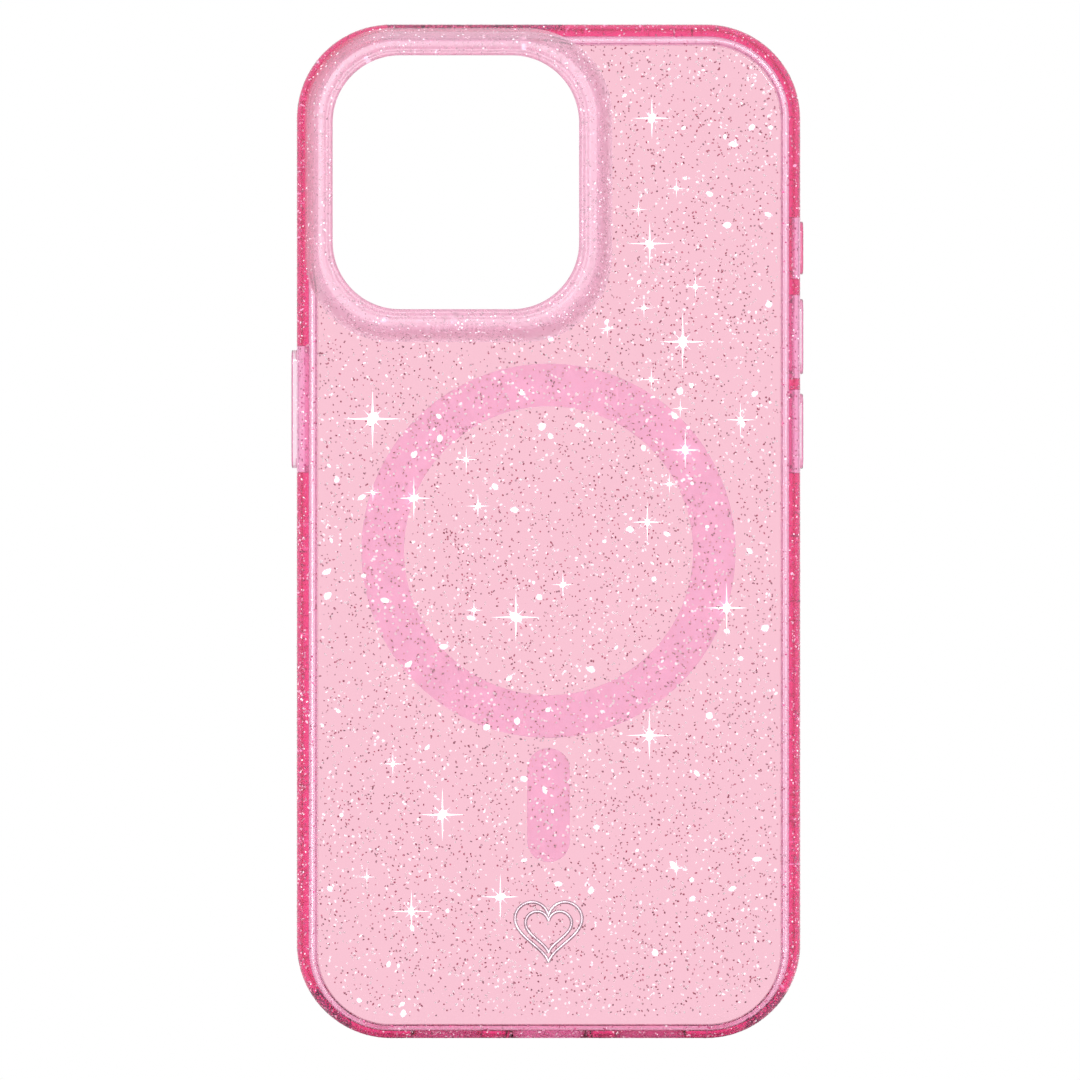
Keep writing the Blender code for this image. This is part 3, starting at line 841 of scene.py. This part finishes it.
def make_emblem():
    """A heart drawn with a raised double line, like an embossed mark."""
    width = emblem_high.x - emblem_low.x
    middle_z = (emblem_high.z + emblem_low.z) / 2
    base = BACK_Y - 0.01 * MM
    steps = HEART_STEPS
    angles = [2 * math.pi * (step + 0.5) / steps for step in range(steps)]
    for name, scale, nodes in HEART_LINES:
        rings = []
        centres = [heart_point(angle) * width * scale for angle in angles]
        for side in range(HEART_LINE_SIDES):
            angle = 2 * math.pi * side / HEART_LINE_SIDES
            ring = []
            for index, centre in enumerate(centres):
                along = (centres[(index + 1) % steps] - centres[index - 1]).normalized()
                sideways = Vector((along.y, -along.x)) * HEART_LINE_HALF_WIDTH * math.cos(angle)
                height = HEART_LINE_HALF_HEIGHT * (1 + math.sin(angle))
                z = centre.y + sideways.y + middle_z
                ring.append((centre.x + sideways.x, base - height, z))
            rings.append(ring)
        work = bmesh.new()
        add_walls(work, rings, wrap=True)
        line = new_object(name, work)
        finish_piece(line, emblem_foil, nodes=nodes, sharp=80)


# ---------------------------------------------------------------- glitter


def flake_shape(radii):
    """Outline of one flake in its own plane, from how far out each of its corners is."""
    shape = []
    for index, radius in enumerate(radii):
        angle = 2 * math.pi * index / len(radii)
        shape.append((radius * math.cos(angle), radius * math.sin(angle)))
    return shape


def ragged_shape(rng, points=12):
    """Outline of one irregular flake."""
    return flake_shape([rng.uniform(0.6, 1.0) for _ in range(points)])


FLAKE_THICKNESS = 0.04 * MM


def flakes(name, places, shape, material):
    """Closed foil flakes joined in one piece.

    places holds (centre, half size, normal, spin, stretch) of each.
    """
    verts = []
    faces = []
    count = len(shape)
    for centre, size, normal, spin, stretch in places:
        turn = normal.to_track_quat("Z", "Y").to_matrix() @ Matrix.Rotation(spin, 3, "Z")
        base = len(verts)
        for x, y in shape:
            verts.append(centre + turn @ Vector((x * size * stretch, y * size / stretch, 0)))
        verts.append(centre + turn @ Vector((0, 0, FLAKE_THICKNESS / 2)))
        verts.append(centre - turn @ Vector((0, 0, FLAKE_THICKNESS / 2)))
        for index in range(count):
            after = (index + 1) % count
            faces.append((base + index, base + after, base + count))
            faces.append((base + after, base + index, base + count + 1))
    mesh = bpy.data.meshes.new(name)
    mesh.from_pydata(verts, [], faces)
    mesh.materials.append(material)
    piece = add_object(name, mesh)
    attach(piece, BODY)


def tilted(rng, direction, spread):
    """A direction tilted at random."""
    tilt = Vector((rng.gauss(0, spread), rng.gauss(0, spread), rng.gauss(0, spread)))
    return (Vector(direction) + tilt).normalized()


def in_rounded(x, z, low, high, radius):
    """Whether a point lies inside a rounded rectangle."""
    middle = ((low[0] + high[0]) / 2, (low[1] + high[1]) / 2)
    over_x = abs(x - middle[0]) - ((high[0] - low[0]) / 2 - radius)
    over_z = abs(z - middle[1]) - ((high[1] - low[1]) / 2 - radius)
    return math.hypot(max(over_x, 0), max(over_z, 0)) <= radius and max(over_x, over_z) <= radius


def in_camera(x, z, grow):
    """Whether a point lies in the camera opening widened by grow."""
    low = (camera_low[0] - grow, camera_low[2] - grow)
    high = (camera_high[0] + grow, camera_high[2] + grow)
    return in_rounded(x, z, low, high, CAMERA_RADIUS + grow)


def near_magnets(x, z, grow):
    """Whether a point lies over the ring's or the bar's recess."""
    reach = math.hypot(x, z - RING_Z)
    if RING_INNER - grow < reach < RING_OUTER + grow:
        return True
    half = (bar_high.x - bar_low.x) / 2
    nearest = min(max(z, bar_low.z + half), bar_high.z - half)
    return math.hypot(x, z - nearest) < half + grow


def plate_place(rng, skin, margin, deepest=2 * MM):
    """A random place inside the plate's plastic, at least skin below its faces."""
    while True:
        x = rng.uniform(case_low.x, case_high.x)
        z = rng.uniform(case_low.z, case_high.z)
        if inward_reach(x, z) < PLATE_INSET + margin or in_camera(x, z, margin):
            continue
        floor = RECESS_FLOOR_Y if near_magnets(x, z, 0.5 * MM) else INNER_Y
        return Vector((x, rng.uniform(BACK_Y + skin, min(floor - skin, BACK_Y + deepest)), z))


# Longer than any stretch of the outline; random stretches are chosen in proportion to length
LONGEST_STRETCH = 140 * MM


def bumper_place(rng, skin):
    """A random place inside the bumper's plastic and the way out to its nearest face."""
    outline = case_outline(0)
    while True:
        start = rng.randrange(len(outline))
        first, second = Vector(outline[start]), Vector(outline[(start + 1) % len(outline)])
        if rng.random() > (second - first).length / LONGEST_STRETCH:
            continue
        point = first.lerp(second, rng.random())
        centre = Vector((
            min(max(point.x, -CORNER_X), CORNER_X),
            min(max(point.y - MIDDLE_Z, -CORNER_Z), CORNER_Z) + MIDDLE_Z,
        ))
        outwards = (point - centre).normalized()
        inward = rng.uniform(skin, SHOULDER_REACH - skin)
        y = rng.uniform(BACK_Y + skin, LIP_Y - skin)
        if inward > WALL - skin and SHOULDER_UNDER_Y - skin < y < LIP_UNDER_Y + skin:
            continue
        round_y = BACK_Y + SHOULDER_ROUND
        if inward < SHOULDER_ROUND and y < round_y:
            if math.hypot(SHOULDER_ROUND - inward, round_y - y) > SHOULDER_ROUND - skin:
                continue
        if inward < LIP_ROUND and y > LIP_Y - LIP_ROUND:
            if math.hypot(LIP_ROUND - inward, y - LIP_Y + LIP_ROUND) > LIP_ROUND - skin:
                continue
        share = BOTTOM_SHARE if outwards.y < -0.5 else RIGHT_SHARE if outwards.x > 0.5 else 1
        depth = inward * share
        place = Vector((point.x - outwards.x * depth, y, point.y - outwards.y * depth))
        if in_cut_out(place):
            continue
        facing = (outwards.x, -0.4 if y < 0 else 0.4, outwards.y)
        return place, facing


def under_guard(place):
    """Whether a place on the back lies under the camera guard."""
    low = (guard_low.x, guard_low.z)
    high = (guard_high.x, guard_high.z + GUARD_OVER_TOP)
    return place.y < 0 and in_rounded(place.x, place.z, low, high, GUARD_RADIUS)


# What flakes keep clear of: a margin round the buttons, and the reach of the bottom openings
# in Z, in Y from the phone's middle and in X from the case's middle
BUTTON_MARGIN = 1.0 * MM
BOTTOM_CUT_TOP = 4 * MM
BOTTOM_CUT_DEPTH = 3.8 * MM
PORT_REACH = 7.5 * MM
SLOT_REACH = (9 * MM, 21.5 * MM)


def in_cut_out(place):
    """Whether a place lies in one of the bumper's cut-outs."""
    margin = BUTTON_MARGIN
    for low, high in button_boxes.values():
        if (low.x > 0) == (place.x > 0) and low.z - margin < place.z < high.z + margin:
            if low.y - margin < place.y < high.y + margin:
                return True
    if place.z < BOTTOM_CUT_TOP and abs(place.y - PHONE_MIDDLE_Y) < BOTTOM_CUT_DEPTH:
        return abs(place.x) < PORT_REACH or SLOT_REACH[0] < abs(place.x) < SLOT_REACH[1]
    return False


def face_patches(rings):
    """Faces between rings as (corner, across, along, normal), and running totals of their areas."""
    patches = []
    totals = []
    total = 0
    centre = Vector(np.mean([point for ring in rings for point in ring], axis=0))
    centre.y = 0
    facing_out = 0
    for ring, following in zip(rings, rings[1:]):
        for index, point in enumerate(ring):
            corner = Vector(point)
            across = Vector(ring[(index + 1) % len(ring)]) - corner
            along = Vector(following[index]) - corner
            normal = across.cross(along)
            if normal.length > 0:
                facing_out += normal.dot(corner - centre)
                patches.append((corner, across, along, normal.normalized()))
                total += normal.length
                totals.append(total)
    if facing_out < 0:
        patches = [(corner, across, along, -normal) for corner, across, along, normal in patches]
    return patches, totals


def on_skin(rng, patches, totals, deepest):
    """A random place at or just under a face, and the way that face looks."""
    corner, across, along, normal = rng.choices(patches, cum_weights=totals)[0]
    place = corner + across * rng.random() + along * rng.random()
    return place - normal * rng.uniform(-0.01 * MM, deepest), normal


def edge_share(place, facing):
    """How thickly the bumper's skin is glittered: most at the back edge, and more low down."""
    crowded = 1.0 if -0.9 < facing.y < -0.1 else 0.3
    return crowded * (1.0 - 0.6 * place.z / HEIGHT)


# Stretches of the back edge where dark flakes crowd: low and high corners in X and Z
DARK_PATCHES = (
    ((-35.6 * MM, 1.0 * MM), (-29.4 * MM, 7.4 * MM)),
    ((29.4 * MM, 1.0 * MM), (35.4 * MM, 6.8 * MM)),
    ((-24 * MM, 150.3 * MM), (2 * MM, 151.2 * MM)),
)


def in_dark_patch(place):
    """Whether a place lies in one of the dark stretches."""
    for low, high in DARK_PATCHES:
        if low[0] < place.x < high[0] and low[1] < place.z < high[1]:
            return True
    return False


def spread(rng, count, place, size, skew=0.35, stretch=1.4):
    """Random flakes: place gives a centre, or a centre and the way its face looks."""
    made = []
    for _ in range(count):
        found = place()
        centre, facing = found if isinstance(found, tuple) else (found, (0, -1, 0))
        made.append((
            centre,
            rng.uniform(*size) / 2,
            tilted(rng, facing, skew),
            rng.uniform(0, math.pi),
            rng.uniform(1.0, stretch),
        ))
    return made


# Where the painted glints gather: middle and half size in X and Z, and how many
GLINT_ZONES = (
    ((14 * MM, 0.80 * HEIGHT), (8 * MM, 0.12 * HEIGHT), 8),
    ((21 * MM, 0.60 * HEIGHT), (9 * MM, 0.09 * HEIGHT), 5),
    ((-15 * MM, 0.60 * HEIGHT), (12 * MM, 0.07 * HEIGHT), 4),
    ((8 * MM, 0.46 * HEIGHT), (20 * MM, 0.10 * HEIGHT), 6),
    ((-4 * MM, 0.20 * HEIGHT), (24 * MM, 0.14 * HEIGHT), 7),
)
# How far they keep from each other, from the seam and from the camera opening
GLINT_SPACING = 4.5 * MM
GLINT_OFF_SEAM = 1.5 * MM
GLINT_OFF_OPENING = 8 * MM


def glint_place(rng, middle, half, taken):
    """A random place in a zone for a glint, clear of the guard and of the glints already made."""
    while True:
        x = rng.uniform(middle[0] - half[0], middle[0] + half[0])
        z = rng.uniform(middle[1] - half[1], middle[1] + half[1])
        if inward_reach(x, z) < PLATE_INSET + GLINT_OFF_SEAM or in_camera(x, z, GLINT_OFF_OPENING):
            continue
        place = Vector((x, BACK_Y + 0.12 * MM, z))
        if all((place - other).length > GLINT_SPACING for other in taken):
            return place


def make_glints(rng):
    """Painted glints: long-rayed glowing star flakes just under the plate's surface, each on a
    ragged flake.
    """
    star = flake_shape([1.0, 0.055] * 4)
    rays = []
    middles = []
    for middle, half, count in GLINT_ZONES:
        for _ in range(count):
            place = glint_place(rng, middle, half, [ray[0] for ray in rays])
            size = 1.4 * MM + 3.4 * MM * rng.random() ** 2
            facing = Vector((0, -1, 0))
            rays.append((place, size, facing, 0, rng.uniform(0.86, 1.0)))
            rays.append((place, size * 0.45, facing, math.pi / 4, 1.0))
            behind = place + Vector((0, 0.05 * MM, 0))
            middles.append((behind, size * rng.uniform(0.17, 0.26), facing, rng.uniform(0, 3), 1.2))
    flakes("glint_rays", rays, star, painted_glint_foil)
    flakes("glint_middles", middles, ragged_shape(rng, 11), painted_glint_foil)


def make_glitter(guard_rings):
    """Mauve and white foil flakes through the plate, the guard and the bumper, the white and pale
    ones with painted sparkle, and the painted glints.
    """
    rng = random.Random(11)
    hexagon = flake_shape([1.0] * 6)

    def in_plate():
        return plate_place(rng, 0.10 * MM, 0.3 * MM)

    def near_skin():
        return plate_place(rng, 0.06 * MM, 0.3 * MM, deepest=0.35 * MM)

    def in_bumper():
        return bumper_place(rng, 0.22 * MM)

    guard_faces = face_patches(guard_rings)
    # The part of the section from the shoulder over the wall to the lip
    outside = [at_depth(case_outline(inward), y) for inward, y in bumper_section()[2:34]]
    bumper_faces = face_patches(outside)
    edge_faces = face_patches([ring for ring in outside if ring[0][1] < BACK_Y + 2.1 * MM])

    def on_guard():
        return on_skin(rng, *guard_faces, 0.02 * MM)

    def on_bumper():
        while True:
            place, facing = on_skin(rng, *bumper_faces, 0.05 * MM)
            if in_cut_out(place) or under_guard(place):
                continue
            if rng.random() < edge_share(place, facing):
                return place, facing

    def on_dark_edge():
        while True:
            place, facing = on_skin(rng, *edge_faces, 0.0)
            if in_dark_patch(place) and inward_reach(place.x, place.z) < 1.3 * MM:
                return place, facing

    dark = (0.18 * MM, 0.37 * MM)
    white = (0.20 * MM, 0.48 * MM)
    large = (0.5 * MM, 1.2 * MM)
    fine = (0.15 * MM, 0.32 * MM)
    for name, count, place, size, material, skew in (
        ("plate_glitter_mauve", 4400, in_plate, dark, dark_glitter, 0.35),
        ("plate_glitter_rose", 4200, in_plate, dark, rose_glitter, 0.35),
        ("plate_glitter_pale", 3600, near_skin, white, pale_glitter_painted_glow, 0.2),
        ("plate_glitter_white", 2900, near_skin, white, white_glitter_painted_sparkle, 0.35),
        ("bumper_glitter_mauve", 900, in_bumper, dark, dark_glitter, 0.35),
        ("bumper_glitter_white", 600, in_bumper, white, white_glitter_painted_sparkle, 0.35),
        ("bumper_skin_ruby", 3200, on_bumper, dark, ruby_glitter, 0.03),
        ("bumper_skin_blush", 2600, on_bumper, dark, blush_glitter, 0.03),
        ("bumper_skin_white", 500, on_bumper, fine, white_glitter_painted_sparkle, 0.03),
        ("bumper_skin_maroon", 1700, on_dark_edge, fine, maroon_glitter, 0.02),
        ("guard_glitter_mauve", 1100, on_guard, fine, dark_glitter, 0.03),
        ("guard_glitter_white", 420, on_guard, fine, white_glitter_painted_sparkle, 0.03),
    ):
        flakes(name, spread(rng, count, place, size, skew), hexagon, material)
    # Large white flakes whose emission paints glints on the plate
    for number in range(4):
        shape = ragged_shape(rng)
        places = spread(rng, 24, near_skin, large, 0.05)
        flakes(f"plate_glitter_large_painted_glint_{number + 1}", places, shape, painted_glint_foil)
        # A paler, wider flake behind each softens its outline, its glow a painted halo
        behind = []
        for centre, half_size, *turned in places:
            behind.append((centre + Vector((0, FLAKE_THICKNESS * 2, 0)), half_size * 1.35, *turned))
        flakes(f"plate_glitter_painted_halo_{number + 1}", behind, shape, pale_glitter_painted_glow)
    make_glints(rng)


# ---------------------------------------------------------------- stage


# Brightness of the surroundings by the cosine of the angle from straight behind the case: a
# white backdrop framed by a darker band, which draws the edges of clear plastic
BACKDROP = ((0.0, 1.0), (0.68, 1.0), (0.715, 0.70), (0.785, 0.70), (0.81, 1.0))


# Softboxes: place, size and power
SOFTBOXES = {
    "left_softbox": ((-0.12, -0.90, 0.08), (0.11, 0.60), 2.6),
    "right_softbox": ((0.15, -0.90, 0.08), (0.10, 0.60), 1.2),
    "top_softbox": ((0.0, -0.90, 0.23), (0.60, 0.10), 1.2),
}
VIEW_SIZE = 160.9 * MM
CAMERA_PLACE = (-1.27 * MM, -0.6, 74.2 * MM)


def make_stage():
    """A white floor, soft lights and the camera square on to the case's back."""
    bpy.ops.mesh.primitive_plane_add(size=6)
    floor = bpy.context.object
    floor.name = "floor"
    floor.location.z = case_low.z - 0.02 * MM
    material, _, shader = new_material("white_floor")
    shader.inputs["Base Color"].default_value = (0.96, 0.96, 0.96, 1)
    shader.inputs["Roughness"].default_value = 0.6
    floor.data.materials.append(material)

    world = bpy.data.worlds.new("studio")
    world.use_nodes = True
    nodes, links = world.node_tree.nodes, world.node_tree.links
    direction = nodes.new("ShaderNodeTexCoord")
    parts = nodes.new("ShaderNodeSeparateXYZ")
    ramp = nodes.new("ShaderNodeValToRGB")
    stops = ramp.color_ramp.elements
    while len(stops) < len(BACKDROP):
        stops.new(0.5)
    for stop, (place, level) in zip(stops, BACKDROP):
        stop.position = place
        stop.color = (level, level, level, 1)
    links.new(direction.outputs["Generated"], parts.inputs["Vector"])
    links.new(parts.outputs["Y"], ramp.inputs["Fac"])
    links.new(ramp.outputs["Color"], nodes["Background"].inputs["Color"])
    bpy.context.scene.world = world

    for name, (place, size, power) in SOFTBOXES.items():
        light = bpy.data.lights.new(name, "AREA")
        light.shape = "RECTANGLE"
        light.size, light.size_y = size
        light.energy = power
        lamp = add_object(name, light)
        lamp.location = place
        aim = Vector((0, 0, MIDDLE_Z)) - lamp.location
        lamp.rotation_euler = aim.to_track_quat("-Z", "Y").to_euler()
        lamp.visible_diffuse = False
        lamp.visible_camera = False
        lamp.visible_transmission = False

    lens = bpy.data.cameras.new("camera")
    lens.type = "ORTHO"
    lens.ortho_scale = VIEW_SIZE
    camera = add_object("camera", lens)
    camera.location = CAMERA_PLACE
    camera.rotation_euler = (math.radians(90), 0, 0)
    bpy.context.scene.camera = camera
    bpy.context.scene.view_settings.view_transform = "Standard"


make_bumper()
make_plate()
make_films()
outer_face = make_guard()
for button in BUTTON_BODIES:
    make_button(button)
make_emblem()
for node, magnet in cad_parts.items():
    if "magnet" in node:
        magnet.data.materials.clear()
        magnet.data.materials.append(nickel)
make_glitter(outer_face)
make_stage()
